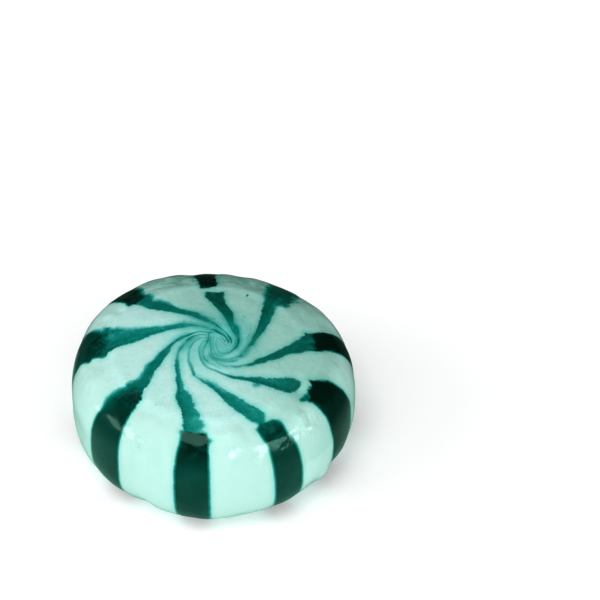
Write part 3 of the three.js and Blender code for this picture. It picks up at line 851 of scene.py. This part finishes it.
uv_map = mesh.uv_layers.new(name="OFBake")
uvs = []
first_strip = next(i for i, walk in enumerate(ring_walk) if walk > DISC_WALK) - 1
last_strip = next(i for i, walk in enumerate(ring_walk) if walk > STRIP_END)
low_walk = WHOLE - ring_walk[-1]
for c in range(SPOKES):
    a, b = c * 360 / SPOKES, (c + 1) * 360 / SPOKES
    uvs += [UPPER_DISC, disc_uv(ring_walk[0], a, UPPER_DISC), disc_uv(ring_walk[0], b, UPPER_DISC)]
    for r in range(rings - 1):
        s, e = ring_walk[r], ring_walk[r + 1]
        corners = ((s, a), (e, a), (e, b), (s, b))
        if r < first_strip:
            uvs += [disc_uv(walk, azimuth, UPPER_DISC) for walk, azimuth in corners]
        elif r < last_strip:
            uvs += [strip_uv(walk, azimuth, a >= 180) for walk, azimuth in corners]
        else:
            uvs += [disc_uv(WHOLE - walk, -azimuth, LOWER_DISC) for walk, azimuth in corners]
    uvs += [LOWER_DISC, disc_uv(low_walk, -b, LOWER_DISC), disc_uv(low_walk, -a, LOWER_DISC)]
uv_map.data.foreach_set("uv", np.array(uvs).ravel())
print(len(uvs), "corners in the UV map")

# %% [markdown]
# ## What the material needs to know
# The material is made of nodes, and nodes don't know where a stripe is. So each measured value is stored
# on the mesh as an attribute, one number for each vertex, and the material reads it back by its name. A
# mask image could carry the same, but it would be only as sharp as its pixels.

# %% How far the edges fray, and how soft they are, in mm
FRAY_EYE, FRAY_FACE, FRAY_SIDE = 0.05, 0.36, 0.05
CALM_FIFTH = 0.45  # the fifth stripe's edges fray less
RIM_FRAY, TORN_FRAY = 0.15, 0.8  # more at the far rim, and most on the torn side of the second stripe
SOFT_SIDE, SOFT_FACE, SOFT_EDGE, SOFT_SECOND = 0.2, 0.1, 0.3, 0.25

face_mask = inwards(TRAVEL, 8.9, 10.6)
rim = smooth(TRAVEL, 7.4, 8.6) * inwards(TRAVEL, 11, 13) * UP_SIDE
rim *= smooth(AZIMUTH, 15, 55) * (1 - smooth(AZIMUTH, 118, 134))
shoulder = smooth(TRAVEL, 9.8, 11.5)
rag = FRAY_EYE + FRAY_FACE * smooth(TRAVEL, 2.5, 7.5) * (1 - shoulder) + FRAY_SIDE * shoulder
rag *= 1 - CALM_FIFTH * only(5)
torn_side = only(2) * smooth(-skin_side, -0.6, 0.6)
rag += RIM_FRAY * rim + TORN_FRAY * torn_side * smooth(TRAVEL, 7.2, 8.4) * UP_SIDE
soft = SOFT_SIDE + (SOFT_FACE - SOFT_SIDE) * face_mask
soft += SOFT_EDGE * only(7, 8, 9) * first_side * smooth(TRAVEL, 4, 7)
soft += SOFT_SECOND * only(2) * smooth(TRAVEL, 7, 8) * UP_SIDE
print("edges fray by up to %.2f mm" % rag.max())

# %% Knobbly places, painted shade on the back right of the face, and the way the sugar flowed
KNOBBLES = (  # azimuth, walk, spread and strength of the rougher places on the shoulder
    (230, 12.3, 0.9, 2.5), (239, 12.8, 0.9, 2.5), (289, 12.8, 0.9, 1.5), (314, 12.2, 1.3, 1.6),
    (303, 9.5, 1.0, 0.5))
SHOULDER_KNOBS = 0.25  # all round the front shoulder
STRIPE_KNOBS, STRIPE_KNOBS_AT = 0.45, (303, 12.6, 1.0)
SHADED_SIDE = 40  # the painted shade on the face is darkest in this direction from the eye
FLOW_SWEEP, FLOW_STRETCH = 16.6, 0.16  # the streaks turn with the swirl, and are long towards the eye

knobby = sum(strength * shoulder_hump(*where) for *where, strength in KNOBBLES)
knobby += SHOULDER_KNOBS * hump(TRAVEL - 11.7, 1.1) * smooth(front, 0.35, 0.8)
knobby *= smooth(-edge_mm, -0.2, 0.4)
knobby += STRIPE_KNOBS * shoulder_hump(*STRIPE_KNOBS_AT) * smooth(edge_mm, -0.2, 0.2)
# Painted shade: the face is darker towards the back right, fading out down the side
back_right_shade = smooth(np.cos(np.radians(AZIMUTH - SHADED_SIDE)), -0.6, 0.5) * smooth(TRAVEL, 1, 3.5) * UP_SIDE
back_right_shade *= 1 - 0.6 * smooth(TRAVEL, 10, 12)
flow_turn = np.radians(AZIMUTH + np.where(TRAVEL < FACE_END, turned(FLOW_SWEEP, TRAVEL), 0))
flow = np.stack([FACE_END * np.cos(flow_turn), FACE_END * np.sin(flow_turn), TRAVEL * FLOW_STRETCH], axis=-1)
block = hump(ALONG - starts - 0.6, 1.3) * UP_SIDE  # the first stretch of each dark band
print("knobbliest place:", knobby.max().round(2))

# %% Store the values on the mesh
PAINTED = {  # name: the values, and the one at the two eyes
    "edge_mm": (np.clip(edge_mm, -3, 3), -1),
    "start_mm": (np.clip(start_mm, -4, 4), -4),
    "film_dye": (film_dye, 0.4),
    "smear": (smear, 0.1),
    "band_dye": (band_dye, 1),
    "soft": (soft, 0.1),
    "rag": (rag, 0.1),
    "rim": (rim, 0),
    "block": (block, 0),
    "knobby": (knobby, 0),
    # painted shade on the back right of the face
    "back_right_shade": (back_right_shade, 0),
    "face": (face_mask, 1),
    "travel": (TRAVEL, 0),
}
for name, (values, at_eyes) in PAINTED.items():
    layer = mesh.attributes.new(name, "FLOAT", "POINT")
    layer.data.foreach_set("value", np.append(values.ravel(), (at_eyes, at_eyes)))
layer = mesh.attributes.new("flow", "FLOAT_VECTOR", "POINT")
layer.data.foreach_set("vector", np.append(flow.ravel(), np.zeros(2 * 3)))
print(len(mesh.attributes), "attributes on the mesh")

# %% [markdown]
# ## The finish
# Boiled sugar is a little like milky glass. The pale panels glow softly, the bands are nearly black and
# shine, and where the skin of teal sugar is thin, light comes through it. The pinched face has lost its
# shine and is finely grained. One material holds it all, because on the real sweet it is all one piece.
# Nodes can be wired by hand in the Shader Editor. Here short functions place and link them, so that a sum
# reads as one line. Effects that are used several times are node groups.

# %% Helpers for nodes
def feed(tree, socket, value):
    """Sets a socket to a plain value, or links another socket to it."""
    if isinstance(value, bpy.types.NodeSocket):
        tree.links.new(value, socket)
    else:
        socket.default_value = (*value, 1) if socket.type == "RGBA" else value


def math_node(tree, operation, first, second, clamp=False):
    """A Math node."""
    node = tree.nodes.new("ShaderNodeMath")
    node.operation, node.use_clamp = operation, clamp
    feed(tree, node.inputs[0], first)
    feed(tree, node.inputs[1], second)
    return node.outputs[0]


def times(tree, first, second, clamp=False):
    """A product."""
    return math_node(tree, "MULTIPLY", first, second, clamp)


def plus(tree, first, second, share=None, clamp=False):
    """A sum, in which the second part can be taken by a share."""
    return math_node(tree, "ADD", first, second if share is None else times(tree, second, share), clamp)


def vector_node(tree, operation, vector, other):
    """A Vector Math node; the other input is a vector or, to scale by, a number."""
    node = tree.nodes.new("ShaderNodeVectorMath")
    node.operation = operation
    feed(tree, node.inputs[0], vector)
    feed(tree, node.inputs["Scale"] if operation == "SCALE" else node.inputs[1], other)
    return node.outputs["Value" if operation in ("DOT_PRODUCT", "DISTANCE") else "Vector"]


def step_node(tree, value, start, end, low=0.0, high=1.0):
    """A soft step of a value from low to high between start and end."""
    node = tree.nodes.new("ShaderNodeMapRange")
    node.interpolation_type = "SMOOTHSTEP"
    settings = {"Value": value, "From Min": start, "From Max": end, "To Min": low, "To Max": high}
    for label, setting in settings.items():
        feed(tree, node.inputs[label], setting)
    return node.outputs["Result"]


def blend_node(tree, factor, first, second, mode="MIX"):
    """A mix of two colours."""
    node = tree.nodes.new("ShaderNodeMix")
    node.data_type, node.blend_type = "RGBA", mode
    for socket, value in ((node.inputs[0], factor), (node.inputs[6], first), (node.inputs[7], second)):
        feed(tree, socket, value)
    return node.outputs[2]


def blend_values(tree, factor, first, second):
    """A mix of two values."""
    node = tree.nodes.new("ShaderNodeMix")
    for socket, value in zip((node.inputs[0], node.inputs[2], node.inputs[3]), (factor, first, second)):
        feed(tree, socket, value)
    return node.outputs[0]


def noise_node(tree, vector, scale, detail=2.0, roughness=0.5):
    """Noise of about one bump per 1/scale millimetres, centred on zero."""
    node = tree.nodes.new("ShaderNodeTexNoise")
    settings = {"Vector": vector, "Scale": scale, "Detail": detail, "Roughness": roughness}
    for label, setting in settings.items():
        feed(tree, node.inputs[label], setting)
    return math_node(tree, "SUBTRACT", node.outputs["Fac"], 0.5)


def attribute_node(tree, name, output="Fac"):
    """Reads one of the values stored on the mesh."""
    node = tree.nodes.new("ShaderNodeAttribute")
    node.attribute_name = name
    return node.outputs[output]


# %% Helpers for node groups
def new_group(name, inputs, outputs):
    """An empty shader node group with named sockets; an input has a name, a kind and a plain value."""
    tree = bpy.data.node_groups.new(name, "ShaderNodeTree")
    for label, kind, value in inputs:
        socket = tree.interface.new_socket(label, in_out="INPUT", socket_type="NodeSocket" + kind)
        if value is not None:
            socket.default_value = value
    for label, kind in outputs:
        tree.interface.new_socket(label, in_out="OUTPUT", socket_type="NodeSocket" + kind)
    return tree, tree.nodes.new("NodeGroupInput").outputs, tree.nodes.new("NodeGroupOutput").inputs


def use_group(tree, group_tree, **settings):
    """Places a group in a tree; each setting is a socket or a number."""
    node = tree.nodes.new("ShaderNodeGroup")
    node.node_tree = group_tree
    for label, value in settings.items():
        feed(tree, node.inputs[label], value)
    return node.outputs


# %% [markdown]
# A torn edge is a clean edge whose distance wobbles. The first group adds noise to a distance and turns it
# into a mask, and serves both the sides of the stripes and the ends of the dark bands. The second gives
# the grain of pinched sugar, with a rare dark speck.

# %% Group: ragged edge
COARSE_RAG, FINE_RAG, FINE_SHARE = 1.6, 6.0, 0.9

ragged, given, result = new_group(
    "Ragged edge",
    (("Distance", "Float", 0.0), ("Place", "Vector", None),
     ("Rag", "Float", 0.1), ("Softness", "Float", 0.03)),
    (("Mask", "Float"), ("Distance", "Float")),
)
wobble = plus(ragged, noise_node(ragged, given["Place"], COARSE_RAG, 1.0),
              noise_node(ragged, given["Place"], FINE_RAG, 2.0, 0.6), FINE_SHARE)
shifted = plus(ragged, given["Distance"], wobble, given["Rag"])
outer = times(ragged, given["Softness"], -1.0)
ragged.links.new(step_node(ragged, shifted, outer, given["Softness"]), result["Mask"])
ragged.links.new(shifted, result["Distance"])
print("group:", ragged.name)

# %% Group: sugar grain
LUMPS, GRIT, GRIT_SHARE = 2.2, 9.0, 0.6
SPECKS, SPECK_FROM, SPECK_TO = 3.4, 0.33, 0.38  # only the highest noise makes a speck

grain, given, result = new_group(
    "Sugar grain",
    (("Place", "Vector", None), ("Size", "Float", 1.0)),
    (("Height", "Float"), ("Specks", "Float")),
)
scaled = vector_node(grain, "SCALE", given["Place"], given["Size"])
height = plus(grain, noise_node(grain, scaled, LUMPS), noise_node(grain, scaled, GRIT, 2.0, 0.7), GRIT_SHARE)
grain.links.new(height, result["Height"])
specks = step_node(grain, noise_node(grain, scaled, SPECKS, 0.0), SPECK_FROM, SPECK_TO)
grain.links.new(specks, result["Specks"])
print("group:", grain.name)

# %% [markdown]
# Dye in sugar works like ink in water: a thin layer takes out the red light first and looks teal, and a
# thick one takes out nearly everything. So the material adds up one number, how thick the dye is, and the
# last group turns it into a colour. The edges of the stripes then get their teal fringe by themselves.

# %% Group: dye in sugar
DYE_STEPS = (  # how thick the dye is, and what part of the red, green and blue light it lets through
    (0.0, (1.0, 1.0, 1.0)), (0.1, (0.62, 0.9, 0.89)), (0.25, (0.19, 0.6, 0.57)), (0.45, (0.012, 0.32, 0.29)),
    (0.6, (0.002, 0.22, 0.19)), (0.8, (0.002, 0.11, 0.09)), (0.9, (0.0012, 0.045, 0.034)),
    (1.0, (0.0008, 0.013, 0.009)),
)

dyed, given, result = new_group(
    "Dye in sugar", (("Sugar", "Color", None), ("Dye", "Float", 0.5)), (("Color", "Color"),))
ramp = dyed.nodes.new("ShaderNodeValToRGB")
for i, (dye_place, passed) in enumerate(DYE_STEPS):
    stop = ramp.color_ramp.elements[i] if i < 2 else ramp.color_ramp.elements.new(dye_place)
    stop.position, stop.color = dye_place, (*passed, 1)
feed(dyed, ramp.inputs["Fac"], given["Dye"])
coloured = blend_node(dyed, 1.0, given["Sugar"], ramp.outputs["Color"], "MULTIPLY")
dyed.links.new(coloured, result["Color"])
print("group:", dyed.name, "with", len(DYE_STEPS), "steps")

# %% [markdown]
# The candy material is built in the order in which its values add up. First come the masks that say where
# a stripe or a dark band is, and a few noises: streaks that follow the swirl, wide clouds, and a mottle in
# the first stretch of each band. Then comes the dye in the stripes, and then the dye that crept from them
# into the pale sugar. Painted streaks would do for one view, but these hold from every side.

# %% The candy material: masks and noises
STREAK_SCALE, CLOUD_SCALE, MOTTLE_SCALE = 1.4, 0.35, 1.5  # how fine each is

material = bpy.data.materials.new("striped_candy")
material.use_nodes = True
tree = material.node_tree
shader = tree.nodes["Principled BSDF"]
place = vector_node(tree, "SCALE", tree.nodes.new("ShaderNodeTexCoord").outputs["Object"], 1 / MM)
on_face, travel, at_rim = (attribute_node(tree, name) for name in ("face", "travel", "rim"))
flow_place = attribute_node(tree, "flow", "Vector")
stripe = use_group(tree, ragged, Distance=attribute_node(tree, "edge_mm"), Place=place,
                   Rag=attribute_node(tree, "rag"), Softness=attribute_node(tree, "soft"))
dark = use_group(tree, ragged, Distance=attribute_node(tree, "start_mm"), Place=place, Rag=1.2, Softness=0.5)
skin = use_group(tree, grain, Place=place, Size=1.0)
streak = noise_node(tree, flow_place, STREAK_SCALE, 3.0, 0.6)
cloud = noise_node(tree, place, CLOUD_SCALE)
mottle = times(tree, noise_node(tree, place, MOTTLE_SCALE, 3.0, 0.65), attribute_node(tree, "block"))
print("material:", material.name)

# %% The candy material: dye in the stripes
FILM_STREAKS, FILM_GRAIN, FILM_MOTTLE = 0.46, 0.3, 0.8  # how much the noises change the dye
BAND_CLOUDS, BAND_MOTTLE = 0.12, 0.45
PINHOLES, PINHOLE_SIZE = 0.3, 2.2  # how much dye a pale pinhole lacks

film = plus(tree, attribute_node(tree, "film_dye"), streak, FILM_STREAKS)
film = plus(tree, film, skin["Height"], FILM_GRAIN)
film = plus(tree, film, mottle, FILM_MOTTLE)
band = plus(tree, attribute_node(tree, "band_dye"), cloud, BAND_CLOUDS)
band = plus(tree, band, mottle, BAND_MOTTLE)
stripe_dye = blend_values(tree, dark["Mask"], film, band)
pinholes = use_group(tree, grain, Place=place, Size=PINHOLE_SIZE)["Specks"]
stripe_dye = math_node(tree, "SUBTRACT", stripe_dye, times(tree, pinholes, PINHOLES))
print(len(tree.nodes), "nodes so far")

# %% The candy material: dye that crept into the pale sugar
EYE_DYE, EYE_FADE, EYE_STREAKS = 0.21, (5.6, 0.9), 1.2  # the middle of the swirl is dyed through
CREEP_REACH, CREEP_SIDE, CREEP_FACE = -1.0, 0.1, 0.12  # mm outside a stripe, and the dye at its edge
# The second number is the dye of the painted shade on the back right of the face
MIST, SHADE_DYE, SPECKLE, SPECK = 0.06, 0.035, 0.08, 0.16

eye_dye = step_node(tree, plus(tree, travel, streak, EYE_STREAKS), *EYE_FADE, 0, EYE_DYE)
creep = math_node(tree, "POWER", step_node(tree, stripe["Distance"], CREEP_REACH, 0.0), 3.0)
creep = times(tree, creep, step_node(tree, on_face, 0.0, 1.0, CREEP_SIDE, CREEP_FACE))
sugar_dye = plus(tree, plus(tree, eye_dye, creep), times(tree, plus(tree, streak, cloud), MIST, True))
sugar_dye = plus(tree, sugar_dye, attribute_node(tree, "smear"))
# Painted shade: more dye towards the back right of the face
sugar_dye = plus(tree, sugar_dye, attribute_node(tree, "back_right_shade"), SHADE_DYE)
sugar_dye = plus(tree, sugar_dye, times(tree, skin["Height"], on_face), SPECKLE)
sugar_dye = plus(tree, sugar_dye, times(tree, skin["Specks"], on_face), SPECK)
print(len(tree.nodes), "nodes with the dye of the sugar")

# %% [markdown]
# The sugar under the dye isn't one white. The side is a shade darker than the frosted face, and the back
# right of the face is darker with painted shade. The wrinkled far rim is greyest: its sugar is glassy, with
# little air in it, and it has painted shade too, in streaks whose light ones are painted glints. Each of
# these is a mix of two colours by a stored value.

# %% The candy material: the pale sugar, and its colour with the dye
PALE_SIDE, PALE_FACE = (0.41, 0.66, 0.6), (0.45, 0.74, 0.69)
FROST_LIGHT, FROST_DARK = (0.7, 0.85, 0.8), (0.2, 0.45, 0.4)
SHADE_TINT, RIM_GLASS_AND_SHADE = (0.72, 0.76, 0.71), (0.5, 0.64, 0.58)  # these tint the pale sugar: painted shade on the back right of the face, and the far rim's greyer glass with painted shade
FROST_SCALE, LIGHTER, DARKER, CLOUDY = 5.0, 0.8, -0.6, 0.4
WRINKLE_STRETCH, WRINKLE_SCALE = (0.8, 0.8, 7), 1.4  # the wrinkles run round the rim
# The far rim is greyer: glassy sugar with painted shade; its wrinkles streak it, and the light streaks are
# painted glints
RIM_GREY_AND_SHADE, RIM_STREAKS_AND_GLINTS = 0.6, 2.6


def tinted(share, colour):
    """The pale sugar, tinted with a colour by a share."""
    return blend_node(tree, share, pale, blend_node(tree, 1.0, pale, colour, "MULTIPLY"))


pale = blend_node(tree, on_face, PALE_SIDE, PALE_FACE)
frost = noise_node(tree, place, FROST_SCALE, 2.0, 0.7)
frost = times(tree, frost, step_node(tree, on_face, 0.0, 1.0, 0.3, 1.0))
pale = blend_node(tree, times(tree, frost, LIGHTER, True), pale, FROST_LIGHT)
pale = blend_node(tree, times(tree, frost, DARKER, True), pale, FROST_DARK)
# Painted shade: the pale sugar is darker towards the back right of the face, with clouds in it
pale = tinted(plus(tree, attribute_node(tree, "back_right_shade"), cloud, CLOUDY), SHADE_TINT)
stretched = vector_node(tree, "MULTIPLY", flow_place, WRINKLE_STRETCH)
wrinkle = noise_node(tree, stretched, WRINKLE_SCALE, 2.0, 0.6)
rim_wrinkle = times(tree, wrinkle, at_rim)
# The far rim's grey, partly glassy sugar and partly painted shade, with wrinkle streaks whose light ones are
# painted glints
rim_glass_and_shade_share = plus(tree, times(tree, at_rim, RIM_GREY_AND_SHADE), rim_wrinkle, RIM_STREAKS_AND_GLINTS, True)
pale = tinted(rim_glass_and_shade_share, RIM_GLASS_AND_SHADE)
dye = blend_values(tree, stripe["Mask"], sugar_dye, stripe_dye)
colour = use_group(tree, dyed, Sugar=pale, Dye=dye)["Color"]
feed(tree, shader.inputs["Base Color"], colour)
print(len(tree.nodes), "nodes with the colour")

# %% [markdown]
# The pinched face is dull and grained, and the side is glossy. The pale sugar has a clear coat besides,
# where the skin of the rope is whole: it shines more than the dyed bands do.

# %% The candy material: shine and grain
ROUGH_SIDE, ROUGH_FACE, ROUGH_GRAIN, ROUGH_RIM = 0.12, 0.42, 0.12, -0.15
BUMP_HEIGHT = 0.03 * MM
GRAIN_SIDE, WRINKLE_BUMP, KNOB_BUMP = 0.15, 4, 6  # heights, as multiples of the grain's on the face
KNOB_SCALE = 1.3
COAT_FROM, COAT_TO, COAT = 11.4, 12.2, 0.8

rough = step_node(tree, on_face, 0.0, 0.9, ROUGH_SIDE, ROUGH_FACE)
rough = plus(tree, rough, skin["Height"], ROUGH_GRAIN)
rough = plus(tree, rough, at_rim, ROUGH_RIM)
feed(tree, shader.inputs["Roughness"], rough)
knobs = noise_node(tree, place, KNOB_SCALE, 2.0, 0.55)
knobs = times(tree, knobs, attribute_node(tree, "knobby"))
height = times(tree, skin["Height"], step_node(tree, on_face, 0.0, 1.0, GRAIN_SIDE, 1.0))
height = plus(tree, plus(tree, height, rim_wrinkle, WRINKLE_BUMP), knobs, KNOB_BUMP)
bump = tree.nodes.new("ShaderNodeBump")
bump.inputs["Distance"].default_value = BUMP_HEIGHT
feed(tree, bump.inputs["Height"], height)
feed(tree, shader.inputs["Normal"], bump.outputs["Normal"])
bare = math_node(tree, "SUBTRACT", step_node(tree, travel, COAT_FROM, COAT_TO), stripe["Mask"])
feed(tree, shader.inputs["Coat Weight"], times(tree, bare, COAT, True))
for label, setting in (
        ("IOR", 1.3), ("Specular Tint", (0.35, 1.0, 0.76)), ("Coat Roughness", 0.1), ("Coat IOR", 1.4),
        ("Subsurface Weight", 0.25), ("Subsurface Scale", 0.6 * MM), ("Subsurface Radius", (0.5, 1.0, 0.9))):
    feed(tree, shader.inputs[label], setting)
mesh.materials.append(material)

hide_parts("mint")
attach(candy, "root")

# %% [markdown]
# ## The picture
# The sweet lies on a plain white table under soft light. The camera looks down on it by 42 degrees through
# a long lens, as in the photograph. A studio would flag the table off, so that the glossy sides don't
# mirror too much of it. In Blender the Light Path node does the same: the table is dark for mirrored rays
# alone.

# %% Floor
FLOOR_HALF = 0.4  # metres
PAPER, PAPER_ROUGH, GLOW = (0.96, 0.96, 0.96), 0.7, 0.13
MIRRORED_NEAR, MIRRORED_FAR = (0.2, 0.5, 0.38), (0.02, 0.05, 0.04)
MIRROR_SPOT, MIRROR_FADE = (-0.004, -0.012, 0), (0.016, 0.038)  # metres

floor_mesh = bpy.data.meshes.new("floor")
corners = [(x * FLOOR_HALF, y * FLOOR_HALF, 0) for x, y in ((-1, -1), (1, -1), (1, 1), (-1, 1))]
floor_mesh.from_pydata(corners, [], [(0, 1, 2, 3)])
floor = bpy.data.objects.new("floor", floor_mesh)
bpy.context.scene.collection.objects.link(floor)
paper = bpy.data.materials.new("white_table")
paper.use_nodes = True
tree = paper.node_tree
table = tree.nodes["Principled BSDF"]
mirrored = tree.nodes.new("ShaderNodeLightPath").outputs["Is Glossy Ray"]
away = vector_node(tree, "DISTANCE", tree.nodes.new("ShaderNodeTexCoord").outputs["Object"], MIRROR_SPOT)
in_gloss = blend_node(tree, step_node(tree, away, *MIRROR_FADE), MIRRORED_NEAR, MIRRORED_FAR)
feed(tree, table.inputs["Base Color"], blend_node(tree, mirrored, PAPER, in_gloss))
feed(tree, table.inputs["Roughness"], PAPER_ROUGH)
feed(tree, table.inputs["Emission Color"], (1, 1, 1))
feed(tree, table.inputs["Emission Strength"], blend_values(tree, mirrored, GLOW, 0.0))
floor_mesh.materials.append(paper)
print("floor", 2 * FLOOR_HALF, "m wide")

# %% [markdown]
# A studio's soft light comes from all sides, but a little more from above and from the front. The room
# does that, and oval lamps add to it. What the glossy sides mirror is set apart from what lights them: the
# room is dark with two pale walls for mirrored rays, one small lamp shows in the gloss alone, and two
# large ones light the sweet without showing in it. In a real studio one would move black and white cards
# about.

# %% The room
DARK_GLOW, BRIGHT_GLOW, BACKDROP = 0.02, 0.85, 0.97
BRIGHT_SIDE, BRIGHT_FROM = (-0.05, -0.7, 0.7), -0.3  # the room is brightest up and to the front
WALLS, WALL_FROM = ((-0.96, -0.26, 0), (0.72, -0.69, 0)), 0.75  # their directions, and a cosine
GLOSS_DARK, GLOSS_WALL = 0.004, 0.5  # what the gloss mirrors: a dark room with two pale walls
GLOSS_TINT = (0.55, 1.0, 0.75)  # the gloss of the photograph is greenish

world = bpy.data.worlds.new("soft_room")
world.use_nodes = True
room = world.node_tree
background = room.nodes["Background"]
light_path = room.nodes.new("ShaderNodeLightPath").outputs
towards = room.nodes.new("ShaderNodeTexCoord").outputs["Generated"]
bright = vector_node(room, "DOT_PRODUCT", towards, BRIGHT_SIDE)
glow = step_node(room, bright, BRIGHT_FROM, 1.0, DARK_GLOW, BRIGHT_GLOW)
walls = [vector_node(room, "DOT_PRODUCT", towards, direction) for direction in WALLS]
wall = step_node(room, math_node(room, "MAXIMUM", *walls), WALL_FROM, 1.0, GLOSS_DARK, GLOSS_WALL)
glow = blend_values(room, light_path["Is Glossy Ray"], glow, wall)
feed(room, background.inputs["Strength"], blend_values(room, light_path["Is Camera Ray"], glow, BACKDROP))
tint = blend_node(room, light_path["Is Glossy Ray"], (1.0, 1.0, 1.0), GLOSS_TINT)
feed(room, background.inputs["Color"], tint)
bpy.context.scene.world = world
print("room with", len(walls), "walls")

# %% Lights
LAMPS = (  # name, azimuth, elevation, distance and size in m, power in W, shows in the gloss, lights
    ("key", -112, 66, 0.5, (0.24, 0.24), 0.7, True, True),
    ("small_lamp", -75, 21, 0.5, (0.16, 0.16), 0.6, True, False),
    ("left", -168, 14, 0.5, (0.3, 0.12), 0.55, True, True),
    ("right", -33, 12, 0.5, (0.3, 0.14), 0.85, True, True),
    ("fill", -165, 25, 0.6, (0.6, 0.4), 0.9, False, True),
    ("window", -92, 32, 0.7, (1.0, 1.0), 1.05, False, True),
)

for name, azimuth, elevation, distance, size, power, in_gloss, lights in LAMPS:
    lamp = bpy.data.lights.new(name, "AREA")
    lamp.shape, lamp.energy = "ELLIPSE", power
    lamp.size, lamp.size_y = size
    holder = bpy.data.objects.new(name, lamp)
    a, e = math.radians(azimuth), math.radians(elevation)
    away = Vector((math.cos(e) * math.cos(a), math.cos(e) * math.sin(a), math.sin(e)))
    holder.location = away * distance
    holder.rotation_euler = away.to_track_quat("Z", "Y").to_euler()
    holder.visible_glossy, holder.visible_diffuse = in_gloss, lights
    bpy.context.scene.collection.objects.link(holder)
print(len(LAMPS), "lamps")

# %% Camera
camera = bpy.data.objects.new("camera", bpy.data.cameras.new("camera"))
camera.location = camera_spot * MM
camera.rotation_euler = (math.pi / 2 - tilt, 0, 0)
camera.data.sensor_width, camera.data.lens = SENSOR, LENS
camera.data.dof.use_dof = False
bpy.context.scene.collection.objects.link(camera)
bpy.context.scene.camera = camera
bpy.context.scene.view_settings.view_transform = "Standard"
bpy.context.scene.view_settings.look = "None"
print("camera at", [round(v, 3) for v in camera.location])
